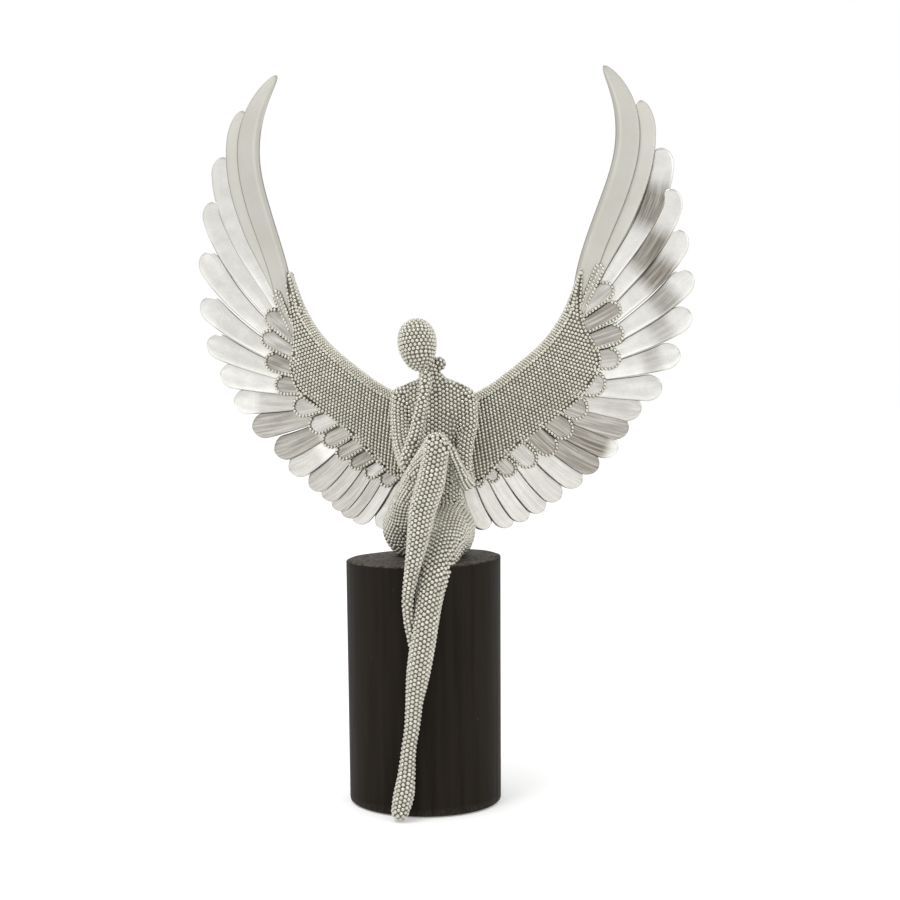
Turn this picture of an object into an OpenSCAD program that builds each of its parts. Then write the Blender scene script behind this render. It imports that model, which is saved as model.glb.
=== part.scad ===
// Winged seated figure on a round plinth, a free-standing award ornament.
// Frame: origin at the centre of the felt's underside, +Z up, -Y is the front, millimetres.
// Left and right are the figure's own, so its left wing is on +X.

/* [Plinth] */
// Height of the plinth's top above the shelf
plinth_h = 113; // [110:0.5:116]
// Radius at the top rim
plinth_top_r = 35.6; // [35:0.1:37]
// Radius at the foot
plinth_foot_r = 35; // [34:0.1:36]
// Thickness of the felt disc, which is let into the plinth's underside
felt_t = 1.2; // [0.8:0.1:2]
// How far the felt stands proud, which lifts the plinth off the shelf
felt_proud = 0.4; // [0.2:0.1:0.6]
// Depth of the counterbore that hides the fixing bolt
counterbore_h = 76; // [70:1:80]

/* [Figure] */
// Half height of the egg-shaped head
head_h = 12.9; // [12:0.1:14]
// Largest radius of the head
head_r = 9.1; // [8.5:0.1:10]
// Radius of the hair bun
bun_r = 3.5; // [3:0.1:4]
// Radius of the neck, which ends in a spigot inside the head
neck_r = 4.5; // [4:0.1:5]

/* [Wings] */
// Thickness of a flight feather along its quill
feather_t = 1.1; // [0.8:0.1:1.3]
// Roll of each feather, which tucks its upper edge behind the one above
shingle = 6; // [4:0.5:8]
// Depth of the wing's middle surface at the spine
wing_y = 27.5; // [27:0.1:28.5]
// How far the wing's leading edge comes forward of its root
wing_forward = 7.5; // [5:0.5:9]
// Slope of the wing from its leading edge back to the feather tips
wing_dish = 0.16; // [0.1:0.01:0.2]
// How far the highest tip leans back
tip_lean = 10; // [6:1:12]

/* [Fixings] */
// Radius of the steel dowels in the wing roots
pin_r = 1.5; // [1.4:0.1:1.6]
// Radius of the fixing bolt's shank
bolt_r = 2.5; // [2:0.1:2.5]
// Radial clearance of a fixing in its hole
fit_gap = 0.03; // [0.02:0.01:0.05]

/* [Hidden] */
// Stations of the torso: x, y, z, half width, half depth
TORSO = [[0.5, 11, 113, 16, 12], [0.5, 11, 118, 18.8, 14.5], [0, 11, 127, 19.4, 14.5],
    [1, 12.5, 139, 15.5, 11.5], [1.5, 13.5, 151, 12, 9], [2, 13, 163, 13.5, 9],
    [2.5, 12.5, 174, 16, 9], [2.5, 12, 183, 18.5, 8], [2, 11.5, 188.5, 19, 6.5],
    [2, 11, 192, 14.5, 5.5], [2, 9.5, 194.5, 7, 5], [1, 8.5, 197, 4.8, 4.8]];
// Stations of a limb: x, y, z, radius
RIGHT_ARM = [[-13.5, 11.5, 185.5, 5], [-13.5, 7.5, 176, 4.8], [-11, -1, 165, 4.4], [-6.5, -10, 156.5, 4.2],
    [-5, -14, 160, 4], [-2, -13, 169, 3.8], [0, -11.5, 180, 3.2], [1, -9.5, 188, 2.8],
    [1.5, -7.5, 193.5, 3.2], [1.5, -6.5, 197, 2.5]];
LEFT_ARM = [[17.5, 11.5, 184.5, 5], [18.5, 10, 175, 4.7], [17.5, 7, 165, 4.2], [17.5, 3.5, 155, 3.9],
    [19.5, -0.5, 147.5, 3.9], [19, -7, 149.5, 3.6], [18, -14, 154.5, 3], [17, -20, 159.5, 2.6],
    [15.5, -24.5, 163.5, 3], [13, -28.5, 165.5, 2.3]];
RIGHT_LEG = [[-9, 7, 125.6, 12.5], [-4.8, -2.5, 137, 10.4], [1, -12.5, 150, 8.8], [7.5, -21, 161.5, 6.7],
    [10, -25.5, 165.5, 6.1], [9.5, -28.5, 158, 6], [8, -30.5, 149, 6.5], [5, -34, 136.5, 6.1],
    [3.5, -37.5, 123.5, 4.9], [1.5, -40, 110.5, 3.6], [0, -41, 99, 2.9], [0.4, -40.6, 90, 2.8],
    [1.8, -39.8, 79, 2.4]];
LEFT_LEG = [[9.5, 6, 125.2, 12.4], [10, -6, 123.5, 11.6], [10.2, -18, 118.5, 10], [9.8, -27.5, 111.5, 8.3],
    [9, -34, 103, 6.6], [7.8, -38.5, 91, 6], [6.4, -40, 79, 5.8], [4.4, -40, 66, 5.4],
    [2.5, -39.5, 53, 4.1], [1.5, -39.5, 42, 3.6], [0, -39.5, 32, 3.5], [-1, -39.5, 21, 4],
    [-2, -40.5, 12, 4.8], [-3.4, -42, 4.7, 4.2]];
LIMB_STEPS = 2; // balls between two stations

// Wing curves, x and z, for the left wing and the right one, which is laid out a little lower.
// Leading edge and the core's outer edge, from the spine to the wrist
EDGE = [[4, 183], [21.5, 189], [37, 199.5], [52, 212.5], [61.5, 226.5], [69, 245]];
LEFT_CORE = [[4, 149], [21, 146], [38, 162], [58, 178], [77, 203], [71, 244]];
RIGHT_CORE = [[4, 151], [21.5, 149], [38, 164.5], [55, 180], [71, 199], [71, 241]];
// Tip of each flight feather, from the leading blade down to the innermost
LEFT_TIPS = [[78.5, 339.5], [95.5, 323], [105, 301], [110.5, 282], [115, 263], [119, 244], [119, 226],
    [114.5, 207.5], [106.5, 191], [97, 180.5], [91, 171], [86, 161.5], [77, 153], [69, 145.5], [59, 138],
    [51, 132], [43, 127.5], [35.5, 124.5], [25, 123.5]];
RIGHT_TIPS = [[78, 339.5], [94.5, 323], [104, 301], [110, 279.5], [114, 255], [115.5, 232.5], [113.5, 213],
    [107.5, 197.5], [101, 183.5], [92, 170.5], [81, 159], [74, 150], [64, 142], [57.5, 137], [52.5, 132],
    [48, 128.5], [42.5, 125.5], [30.5, 123.5]];
LEFT_ROOTS = [[70, 232], [69, 214], [67, 198], [55, 186], [42, 174], [27, 162], [13, 151]];
RIGHT_ROOTS = [[72.5, 229], [67.5, 209], [62, 193], [51, 181], [39, 169], [26, 159], [13, 151]];
// Widths near the tip, and how far each feather bows below its chord; the long leading blades have their own
WIDTHS = [12.4, 12.4, 12.4, 11.8, 11, 10.6, 10.4];
BOWS = [11, 5.5, 1.6, 0.4, 1.4, 1.6, 2];
BLADE_WIDTHS = [11.4, 10.4];
BLADE_BOWS = [14.5, 8.8];
// Coverts, tip and root
LEFT_COVERTS = 13;
RIGHT_COVERTS = 12;
LEFT_COVERT_TIPS = [[78.5, 247], [87, 228], [87, 204.5], [71.5, 179], [56.5, 160], [37, 149.5], [22, 144]];
LEFT_COVERT_ROOTS = [[67, 232], [71, 219], [71, 203], [57, 185], [43, 172], [27, 159], [15, 151]];
RIGHT_COVERT_TIPS = [[77, 236], [84, 217.5], [80.5, 195.5], [65.5, 175], [53, 161], [41, 151.5], [27, 144]];
RIGHT_COVERT_ROOTS = [[66, 222], [68, 207], [65, 193], [53, 179], [42, 167], [31, 157], [19, 150]];
FEATHER_RINGS = 12;
RIM_T = 0.1;         // share of the core's width taken by its closed rim
FRONT_D = -4.9;      // depths from the wing's middle surface
INNER_D = -2.6;
RIM_D = 1.2;
BACK_D = 3.2;
COVERT_D = -2.05;
COVERT_THICK = 0.8;
PIN_XZ = [[9.5, 178], [9.5, 160]];
PAD_Y = wing_y + FRONT_D;
NECK_FOOT = [1.9, 9.6, 190];
NECK_TOP = [-0.4, 4.6, 203.5];
HEAD_C = [-4.2, 2.4, 210.4];
HEAD_TILT = [-8, -7, 0];
felt_r = plinth_foot_r - 2.5;
WEB_Z = counterbore_h + felt_t;
PIN_DEPTH = 7;

function spline_end(p, k) =
    k < 0 ? 2 * p[0] - p[1] : k > len(p) - 1 ? 2 * p[len(p) - 1] - p[len(p) - 2] : p[k];
function spline_part(a, b, c, d, t) =
    0.5 * (2 * b + (c - a) * t + (2 * a - 5 * b + 4 * c - d) * t * t + (3 * b - a - 3 * c + d) * t * t * t);
// Point at u, from 0 to 1, on a smooth curve through the points p
function spline(p, u) =
    let (n = len(p) - 1, k = min(n - 1, floor(u * n)))
    spline_part(spline_end(p, k - 1), p[k], p[k + 1], spline_end(p, k + 2), u * n - k);
function mix(a, b, t) = a + (b - a) * t;
function smooth(u) = let (t = min(1, max(0, u))) t * t * (3 - 2 * t);
// Depth of the wing's middle surface, which is flat at the spine and dished round a point above the head
function wing_depth(x, z) =
    wing_y + smooth((x - 6) / 36) * (wing_dish * (norm([x, z - 300]) - 84) - wing_forward)
    + tip_lean * pow(max(0, (z - 250) / 90), 2);

// Faces of a closed skin over rings of points, rings[i][j], joined end to end
function skin_points(rings) = [for (r = rings) each r];
function skin_faces(n, m) = [
    [for (j = [0:m - 1]) j],
    for (i = [0:n - 2]) for (j = [0:m - 1]) each [
        [i * m + j, (i + 1) * m + j, i * m + (j + 1) % m],
        [i * m + (j + 1) % m, (i + 1) * m + j, (i + 1) * m + (j + 1) % m]],
    [for (j = [m - 1:-1:0]) (n - 1) * m + j]];
module skin(rings) {
    polyhedron(points = skin_points(rings), faces = skin_faces(len(rings), len(rings[0])));
}

// Moves a child's +Z axis from a to b
module along(a, b) {
    d = b - a;
    translate(a) rotate([0, acos(d[2] / norm(d)), atan2(d[1], d[0])]) children();
}
module rod_between(a, b, r) {
    along(a, b) cylinder(r = r, h = norm(b - a), $fn = 48);
}

// ---------- plinth and fixings ----------
module plinth_profile() {
    round_r = 1;
    polygon([
        [0, felt_proud], [plinth_foot_r - round_r, felt_proud],
        for (a = [-60:30:0]) [plinth_foot_r - round_r + cos(a), felt_proud + round_r + sin(a)],
        for (a = [0:30:90]) [plinth_top_r - round_r + cos(a), plinth_h - round_r + sin(a)],
        [0, plinth_h]]);
}
module plinth() {
    color([0.13, 0.12, 0.11]) difference() {
        rotate_extrude($fn = 96) plinth_profile();
        translate([0, 0, -1]) cylinder(r = felt_r + 0.2, h = felt_t + 1, $fn = 96);
        translate([0, 11, -1]) cylinder(r = 8, h = WEB_Z + 1, $fn = 48);
        translate([0, 11, 0]) cylinder(r = bolt_r + 0.25, h = plinth_h + 1, $fn = 48);
    }
}
module felt_disc() {
    color([0.08, 0.08, 0.08]) cylinder(r = felt_r, h = felt_t, $fn = 96);
}
module fixing_bolt() {
    cap_h = 5;
    color([0.6, 0.6, 0.62]) translate([0, 11, WEB_Z - 1 - cap_h]) difference() {
        union() {
            cylinder(r = 4.25, h = cap_h, $fn = 48);
            cylinder(r = bolt_r, h = cap_h + plinth_h - WEB_Z + 12, $fn = 48);
        }
        translate([0, 0, -1]) cylinder(r = 2.3, h = 3.5, $fn = 6);
    }
}
module bolt_washer() {
    color([0.7, 0.7, 0.7]) translate([0, 11, WEB_Z - 1]) difference() {
        cylinder(r = 7, h = 1, $fn = 48);
        translate([0, 0, -1]) cylinder(r = bolt_r + 0.2, h = 3, $fn = 48);
    }
}
module seat_insert() {
    color([0.8, 0.65, 0.3]) translate([0, 11, plinth_h + 0.2]) difference() {
        cylinder(r = 4, h = 10, $fn = 48);
        translate([0, 0, -1]) cylinder(r = bolt_r + fit_gap, h = 12, $fn = 48);
    }
}

// ---------- figure ----------
function torso_ring(s) = [for (a = [0:15:345]) [s[0] + s[3] * cos(a), s[1] + s[4] * sin(a), s[2]]];
module torso_body() {
    n = 2 * (len(TORSO) - 1);
    skin([for (i = [0:n]) torso_ring(spline(TORSO, i / n))]);
}
module back_pad() {
    pad_x = 12.2;
    pad_r = 6;
    translate([0, PAD_Y, 0]) rotate([90, 0, 0]) linear_extrude(10) polygon([
        for (c = [[1, 1, 0], [-1, 1, 90], [-1, -1, 180], [1, -1, 270]]) for (a = [0:30:90])
            [c[0] * (pad_x - pad_r) + pad_r * cos(c[2] + a), 169 + c[1] * 9 + pad_r * sin(c[2] + a)]]);
}
module torso() {
    color([0.72, 0.71, 0.67]) difference() {
        union() {
            torso_body();
            back_pad();
            rod_between(NECK_FOOT, NECK_TOP, neck_r);
        }
        translate([0, 11, plinth_h - 1]) cylinder(r = 4 + fit_gap, h = 12, $fn = 48);
        translate([0, 11, plinth_h]) cylinder(r = bolt_r + 0.25, h = 14, $fn = 48);
        for (side = [-1, 1]) for (p = PIN_XZ) wing_pin_at(side * p[0], p[1], pin_r + fit_gap, 0.3);
    }
}
module wing_pin_at(x, z, r, extra) {
    reach = 2.4;
    translate([x, PAD_Y + reach + extra, z]) rotate([90, 0, 0])
        cylinder(r = r, h = PIN_DEPTH + reach + 2 * extra, $fn = 48);
}
// Half of an egg's outline, wide end up
function egg_outline(r, h) = [for (a = [-90:7.5:90]) [r * cos(a) * (1 + 0.13 * sin(a)), h * sin(a)]];
module egg(r, h) { rotate_extrude($fn = 72) polygon(egg_outline(r, h)); }
module head() {
    color([0.72, 0.71, 0.67]) difference() {
        translate(HEAD_C) rotate(HEAD_TILT) egg(head_r, head_h);
        rod_between(NECK_FOOT, NECK_TOP, neck_r + fit_gap);
    }
}
module hair_bun() {
    color([0.72, 0.71, 0.67]) difference() {
        translate([5, 7.4, 201.6]) sphere(r = bun_r, $fn = 48);
        translate(HEAD_C) rotate(HEAD_TILT) egg(head_r, head_h);
        rod_between(NECK_FOOT, NECK_TOP, neck_r);
    }
}

// A limb is a chain of balls on a smooth curve, each pair joined by a hull
module limb(stations) {
    n = LIMB_STEPS * (len(stations) - 1);
    for (i = [0:n - 1]) hull() for (k = [i, i + 1]) {
        s = spline(stations, k / n);
        translate([s[0], s[1], s[2]]) sphere(r = s[3], $fn = 16);
    }
}
module figure_core() {
    torso_body();
    rod_between(NECK_FOOT, NECK_TOP, neck_r);
    translate(HEAD_C) rotate(HEAD_TILT) egg(head_r, head_h);
    back_pad();
}
module plinth_space() {
    cylinder(r1 = plinth_foot_r, r2 = plinth_top_r, h = plinth_h, $fn = 96);
}
module right_leg() {
    color([0.72, 0.71, 0.67]) difference() {
        limb(RIGHT_LEG);
        torso_body();
        plinth_space();
    }
}
module left_leg() {
    color([0.72, 0.71, 0.67]) difference() {
        limb(LEFT_LEG);
        torso_body();
        plinth_space();
        limb(RIGHT_LEG);
    }
}
module right_arm() {
    color([0.72, 0.71, 0.67]) difference() {
        limb(RIGHT_ARM);
        figure_core();
        limb(RIGHT_LEG);
    }
}
module left_arm() {
    color([0.72, 0.71, 0.67]) difference() {
        limb(LEFT_ARM);
        figure_core();
        limb(RIGHT_LEG);
        limb(LEFT_LEG);
    }
}

// ---------- wings, drawn for the +X side and mirrored for the other ----------
// A point of the core: s runs out along the wing, t from the leading edge to the outer edge
function core_point(side, s, t, d) =
    let (p = mix(spline(EDGE, s), spline(side > 0 ? LEFT_CORE : RIGHT_CORE, s), t))
    [p[0], wing_depth(p[0], p[1]) + d, p[1]];
function front_d(t) = FRONT_D + 1.9 * t * t;
function back_d(t) = BACK_D - 1.2 * t * t;
CORE_STEPS = 20;
// Section of the core, a C that is closed along the leading edge and holds the feather roots
function core_ring(side, s) = [
    for (t = [0:0.25:1]) core_point(side, s, t, front_d(t) + (t == 0 ? 2 : 0)),
    core_point(side, s, 1, INNER_D), core_point(side, s, RIM_T, INNER_D),
    core_point(side, s, RIM_T, RIM_D), core_point(side, s, 1, RIM_D),
    for (t = [1:-0.25:0]) core_point(side, s, t, back_d(t) - (t == 0 ? 1 : 0))];
module wing_core(side) {
    color([0.7, 0.69, 0.66]) mirror([side > 0 ? 0 : 1, 0, 0]) difference() {
        skin([for (i = [CORE_STEPS:-1:0]) core_ring(side, 0.98 * (1 - pow(1 - i / CORE_STEPS, 1.3)))]);
        for (p = PIN_XZ) wing_pin_at(p[0], p[1], pin_r + fit_gap, 0.3);
    }
}
module wing_pins(side) {
    color([0.6, 0.6, 0.62]) for (p = PIN_XZ) wing_pin_at(side * p[0], p[1], pin_r, 0);
}

// Distance between neighbours on a curve, measured square to a feather's own direction
function across(curve, i, n, dir) =
    let (a = spline(curve, max(i - 0.5, 0) / (n - 1)), b = spline(curve, min(i + 0.5, n - 1) / (n - 1)),
         d = (b - a) / (min(i + 0.5, n - 1) - max(i - 0.5, 0)))
    abs(d[0] * dir[1] - d[1] * dir[0]);
// Centre line of a vane, bowed to the right of its root-to-tip direction, most of all towards the tip
function vane_mid(root, tip, b, t) =
    let (dir = (tip - root) / norm(tip - root))
    mix(root, tip, t) + [dir[1], -dir[0]] * b * 6.75 * t * t * (1 - t);
// Share of the full width left at t, where the round tip begins at start
function tip_taper(t, start) = t < start ? 1 : sqrt(max(0, 1 - pow((t - start) / (1 - start), 2)));
// A vane is [root, tip, bow, root width, tip width, growth, thickness, depth, start of the tip, roll]
function vane_ring(v, t) =
    let (e = 0.01, p = vane_mid(v[0], v[1], v[2], t),
         d = vane_mid(v[0], v[1], v[2], t + e) - vane_mid(v[0], v[1], v[2], t - e),
         dir = d / norm(d), side = [-dir[1], dir[0]],
         h = max(0.12, mix(v[3], v[4], min(1, t * v[5])) / 2 * tip_taper(t, v[8])))
    [for (c = [[-0.4, 1], [0.4, 1], [1, 0], [0.4, -1], [-0.4, -1], [-1, 0]])
        let (x = p[0] + side[0] * h * c[0], z = p[1] + side[1] * h * c[0])
        [x, wing_depth(x, z) + v[7] + h * tan(v[9]) * c[0] + v[6] / 2 * c[1], z]];
// Rings are spaced evenly up to the tip's start and closer round the tip
function vane_t(k, n, start) = k < n / 2 ? start * 2 * k / n : start + (1 - start) * sin(180 * k / n - 90);
module vane(v) {
    skin([for (k = [0:FEATHER_RINGS]) vane_ring(v, vane_t(k, FEATHER_RINGS, v[8]))]);
}
module flight_feather(side, i) {
    tips = side > 0 ? LEFT_TIPS : RIGHT_TIPS;
    roots = side > 0 ? LEFT_ROOTS : RIGHT_ROOTS;
    n = len(tips);
    u = i / (n - 1);
    root = spline(roots, u);
    tip = tips[i];
    dir = (tip - root) / norm(tip - root);
    blade = i < len(BLADE_WIDTHS);
    w0 = i == 0 ? 4 : max(4, across(roots, i, n, dir) * 1.15);
    w1 = blade ? BLADE_WIDTHS[i] : spline(WIDTHS, u);
    bow = blade ? BLADE_BOWS[i] : spline(BOWS, u);
    start = 1 - (i == 0 ? 3 : blade ? 1.3 : 0.6) * w1 / norm(tip - root);
    depth = i == 0 ? -0.9 : blade ? -0.4 : 0;
    color([0.8, 0.8, 0.78]) mirror([side > 0 ? 0 : 1, 0, 0])
        vane([root, tip, bow, w0, w1, blade ? 2.4 : 1.15, feather_t, depth, start, shingle]);
}
module wing_coverts(side) {
    tips = side > 0 ? LEFT_COVERT_TIPS : RIGHT_COVERT_TIPS;
    roots = side > 0 ? LEFT_COVERT_ROOTS : RIGHT_COVERT_ROOTS;
    n = side > 0 ? LEFT_COVERTS : RIGHT_COVERTS;
    color([0.82, 0.82, 0.8]) mirror([side > 0 ? 0 : 1, 0, 0]) for (i = [0:n - 1]) {
        root = spline(roots, i / (n - 1));
        tip = spline(tips, i / (n - 1));
        dir = (tip - root) / norm(tip - root);
        w1 = across(tips, i, n, dir) * 0.94;
        w0 = across(roots, i, n, dir) * 0.9;
        vane([root, tip, 0, w0, w1, 1, COVERT_THICK, COVERT_D, 1 - 0.5 * w1 / norm(tip - root), 0]);
    }
}

function feathers(side) = len(side > 0 ? LEFT_TIPS : RIGHT_TIPS);
function feather_name(side, i) =
    str(side > 0 ? "left" : "right", "_feather_", i < 9 ? "0" : "", i + 1);

plinth();
felt_disc();
fixing_bolt();
bolt_washer();
seat_insert();
torso();
head();
hair_bun();
right_arm();
left_arm();
right_leg();
left_leg();
wing_core(1);  // left_wing_core
wing_core(-1);  // right_wing_core
wing_coverts(1);  // left_wing_coverts
wing_coverts(-1);  // right_wing_coverts
wing_pins(1);  // left_wing_pins
wing_pins(-1);  // right_wing_pins
for (side = [1, -1]) for (i = [0:feathers(side) - 1])
    flight_feather(side, i);
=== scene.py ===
import itertools
from math import cos, pi, radians, sin, sqrt, tan

import bpy
import numpy as np
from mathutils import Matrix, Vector, kdtree


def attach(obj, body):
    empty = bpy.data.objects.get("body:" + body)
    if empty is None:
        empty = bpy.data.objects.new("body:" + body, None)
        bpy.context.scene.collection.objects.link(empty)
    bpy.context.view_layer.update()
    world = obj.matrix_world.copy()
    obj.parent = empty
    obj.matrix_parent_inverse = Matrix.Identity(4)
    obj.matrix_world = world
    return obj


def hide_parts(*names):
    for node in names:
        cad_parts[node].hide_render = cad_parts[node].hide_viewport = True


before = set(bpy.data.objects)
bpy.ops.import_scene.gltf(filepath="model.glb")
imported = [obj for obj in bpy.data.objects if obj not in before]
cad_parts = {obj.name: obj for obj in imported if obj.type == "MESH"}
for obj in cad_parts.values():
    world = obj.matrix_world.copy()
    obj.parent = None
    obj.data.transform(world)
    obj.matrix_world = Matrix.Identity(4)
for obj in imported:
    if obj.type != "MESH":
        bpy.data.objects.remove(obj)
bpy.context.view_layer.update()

# A winged seated figure on a round plinth. Design values are in millimetres, in the CAD model's frame, and
# become metres when a mesh is made. Left and right are the figure's own, so its left wing is on +X.
MM = 0.001
RNG = np.random.default_rng(11)

# ---- design values shared with the CAD model ----
PLINTH_H = 113.0
PLINTH_TOP_R = 35.6
PLINTH_FOOT_R = 35.0
FELT_PROUD = 0.4
# Stations of the torso: x, y, z, half width, half depth
TORSO = [[0.5, 11, 113, 16, 12], [0.5, 11, 118, 18.8, 14.5], [0, 11, 127, 19.4, 14.5],
         [1, 12.5, 139, 15.5, 11.5], [1.5, 13.5, 151, 12, 9], [2, 13, 163, 13.5, 9],
         [2.5, 12.5, 174, 16, 9], [2.5, 12, 183, 18.5, 8], [2, 11.5, 188.5, 19, 6.5],
         [2, 11, 192, 14.5, 5.5], [2, 9.5, 194.5, 7, 5], [1, 8.5, 197, 4.8, 4.8]]
# Stations of a limb: x, y, z, radius
NECK = [[1.9, 9.6, 190, 4.5], [-0.4, 4.6, 203.5, 4.5]]
RIGHT_ARM = [[-13.5, 11.5, 185.5, 5], [-13.5, 7.5, 176, 4.8], [-11, -1, 165, 4.4], [-6.5, -10, 156.5, 4.2],
             [-5, -14, 160, 4], [-2, -13, 169, 3.8], [0, -11.5, 180, 3.2], [1, -9.5, 188, 2.8],
             [1.5, -7.5, 193.5, 3.2], [1.5, -6.5, 197, 2.5]]
LEFT_ARM = [[17.5, 11.5, 184.5, 5], [18.5, 10, 175, 4.7], [17.5, 7, 165, 4.2], [17.5, 3.5, 155, 3.9],
            [19.5, -0.5, 147.5, 3.9], [19, -7, 149.5, 3.6], [18, -14, 154.5, 3], [17, -20, 159.5, 2.6],
            [15.5, -24.5, 163.5, 3], [13, -28.5, 165.5, 2.3]]
RIGHT_LEG = [[-9, 7, 125.6, 12.5], [-4.8, -2.5, 137, 10.4], [1, -12.5, 150, 8.8], [7.5, -21, 161.5, 6.7],
             [10, -25.5, 165.5, 6.1], [9.5, -28.5, 158, 6], [8, -30.5, 149, 6.5], [5, -34, 136.5, 6.1],
             [3.5, -37.5, 123.5, 4.9], [1.5, -40, 110.5, 3.6], [0, -41, 99, 2.9], [0.4, -40.6, 90, 2.8],
             [1.8, -39.8, 79, 2.4]]
LEFT_LEG = [[9.5, 6, 125.2, 12.4], [10, -6, 123.5, 11.6], [10.2, -18, 118.5, 10], [9.8, -27.5, 111.5, 8.3],
            [9, -34, 103, 6.6], [7.8, -38.5, 91, 6], [6.4, -40, 79, 5.8], [4.4, -40, 66, 5.4],
            [2.5, -39.5, 53, 4.1], [1.5, -39.5, 42, 3.6], [0, -39.5, 32, 3.5], [-1, -39.5, 21, 4],
            [-2, -40.5, 12, 4.8], [-3.4, -42, 4.7, 4.2]]
HEAD_CENTRE = (-4.2, 2.4, 210.4)
HEAD_TILT = (-8, -7)      # degrees about X, then about Y
HEAD_R = 9.1
HEAD_H = 12.9
HEAD_SWELL = 0.13         # how much wider it gets from its middle to its top, as a share
BUN = [[5, 7.4, 201.6, 3.5]]
# The wings' seat behind the shoulder blades: half width, bottom, top, corner radius, front, back
BACK_PAD = (12.2, 154, 184, 6, 12.6, 22.6)

# Wing curves, x and z, for the left wing and the right one, which is mirrored to -X.
# Each feather listed by its number gets a band of painted reflection, darkening it where dark surroundings
# would be mirrored in the leaf: from and to as shares of its length, and how strong.
EDGE = [[4, 183], [21.5, 189], [37, 199.5], [52, 212.5], [61.5, 226.5], [69, 245]]
WINGS = {
    "left": {
        "side": 1,
        "panel": [[4, 149], [12, 147], [21, 146], [29.5, 154.5], [38, 162], [48, 170], [58, 177.5],
                  [70, 187.5], [78, 203.5], [69.5, 222], [69.8, 244.5]],
        "tips": [[78.5, 339.5], [95.5, 323], [105, 301], [110.5, 282], [115, 263], [119, 244], [119, 226],
                 [114.5, 207.5], [106.5, 191], [97, 180.5], [91, 171], [86, 161.5], [77, 153], [69, 145.5],
                 [59, 138], [51, 132], [43, 127.5], [35.5, 124.5], [25, 123.5]],
        "roots": [[70, 232], [69, 214], [67, 198], [55, 186], [42, 174], [27, 162], [13, 151]],
        "reflection_band": {3: (0.54, 0.88, 0.95), 4: (0.45, 0.82, 0.95), 5: (0.52, 0.86, 0.95), 6: (0.58, 0.88, 0.7),
                    7: (0.58, 0.88, 0.5), 8: (0.6, 0.88, 0.45), 10: (0.1, 1.2, 0.35), 11: (0.1, 1.2, 0.75),
                    12: (0.1, 0.95, 1), 13: (0.1, 1.2, 0.85)},
        "coverts": 13,
        "covert_tips": [[78.5, 247], [87, 228], [87, 204.5], [71.5, 179], [56.5, 160], [37, 149.5],
                        [22, 144]],
        "covert_roots": [[67, 232], [71, 219], [71, 203], [57, 185], [43, 172], [27, 159], [15, 151]],
    },
    "right": {
        "side": -1,
        "panel": [[4, 151], [12, 149.5], [21.5, 149], [30, 156.5], [38, 164.5], [46, 172.5], [55, 179],
                  [66, 187], [70.5, 199], [68, 214], [71, 240]],
        "tips": [[78, 339.5], [94.5, 323], [104, 301], [110, 279.5], [114, 255], [115.5, 232.5], [113.5, 213],
                 [107.5, 197.5], [101, 183.5], [92, 170.5], [81, 159], [74, 150], [64, 142], [57.5, 137],
                 [52.5, 132], [48, 128.5], [42.5, 125.5], [30.5, 123.5]],
        "roots": [[72.5, 229], [67.5, 209], [62, 193], [51, 181], [39, 169], [26, 159], [13, 151]],
        "reflection_band": {8: (0.1, 0.45, 0.35), 9: (0, 0.8, 0.45), 10: (0.1, 1.2, 0.7), 11: (0.3, 1.2, 0.8),
                    12: (0.5, 1.2, 0.35), 13: (0.1, 1.2, 0.55), 14: (0.1, 1.2, 0.55), 15: (0.1, 1.2, 0.6),
                    16: (0, 1.2, 0.65), 17: (0, 1.2, 0.4)},
        "coverts": 12,
        "covert_tips": [[77, 236], [84, 217.5], [80.5, 195.5], [65.5, 175], [53, 161], [41, 151.5],
                        [27, 144]],
        "covert_roots": [[66, 222], [68, 207], [65, 193], [53, 179], [42, 167], [31, 157], [19, 150]],
    },
}
WIDTHS = [12.4, 12.4, 12.4, 12.8, 12.4, 11.2, 10.4]    # a little wider than in the CAD model, to close gaps
BOWS = [11, 5.5, 1.6, 0.4, 1.4, 1.6, 2]
BLADE_WIDTHS = [11.4, 10.4]
BLADE_BOWS = [14.5, 8.8]
BOW_SCALE = 6.75          # brings the highest value of t * t * (1 - t) to 1
WING_Y = 27.5
WING_FORWARD = 7.5
WING_DISH = 0.16
TIP_LEAN = 10
BLADE_RIDGE = 0.57        # how far across the leading blade its ridge runs
FEATHER_T = 1.1
SHINGLE = tan(radians(6))
FRONT_D = -4.9            # depths from the wing's middle surface
INNER_D = -2.6
RIM_D = 1.2
BACK_D = 3.2
MIDDLE_D = (FRONT_D + BACK_D) / 2
HALF_D = (BACK_D - FRONT_D) / 2
COVERT_D = -1.3           # a little deeper than in the CAD model, to clear the panel's lip
COVERT_T = 0.8

# ---- design values of the looks ----
BEAD_PITCH = 2.0          # on the body
PANEL_PITCH = 1.8         # on the wing panels
TRIM_PITCH = 1.7          # round the coverts
RIM_PITCH = 1.35          # along the leading edge
RIM_W = 3.4               # width of the rounded leading edge
HEX = sqrt(3) / 2
DOME_SIDES = 8
DOME_ANGLES = (-12, 25, 58)
DOME_RING_SHADE = (0.9, 0.22, 0.0)    # how much painted shade each ring of a bead holds, heaviest round its foot
BEAD_FULLNESS = 0.54      # a bead's radius as a share of its pitch


# ---- curves ----
def spline(points, u):
    """Catmull-Rom curve through the points, as in the CAD model, at every u from 0 to 1."""
    p = np.asarray(points, float)
    n = len(p) - 1
    ext = np.vstack([2 * p[0] - p[1], p, 2 * p[-1] - p[-2]]) if n else np.vstack([p, p, p, p])
    x = np.atleast_1d(u) * n
    k = np.clip(np.floor(x).astype(int), 0, max(n - 1, 0))
    t = (x - k)[:, None]
    a, b, c, d = ext[k], ext[k + 1], ext[k + 2], ext[k + 3]
    square, cube = 2 * a - 5 * b + 4 * c - d, 3 * b - a - 3 * c + d
    return 0.5 * (2 * b + (c - a) * t + square * t * t + cube * t ** 3)


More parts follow.
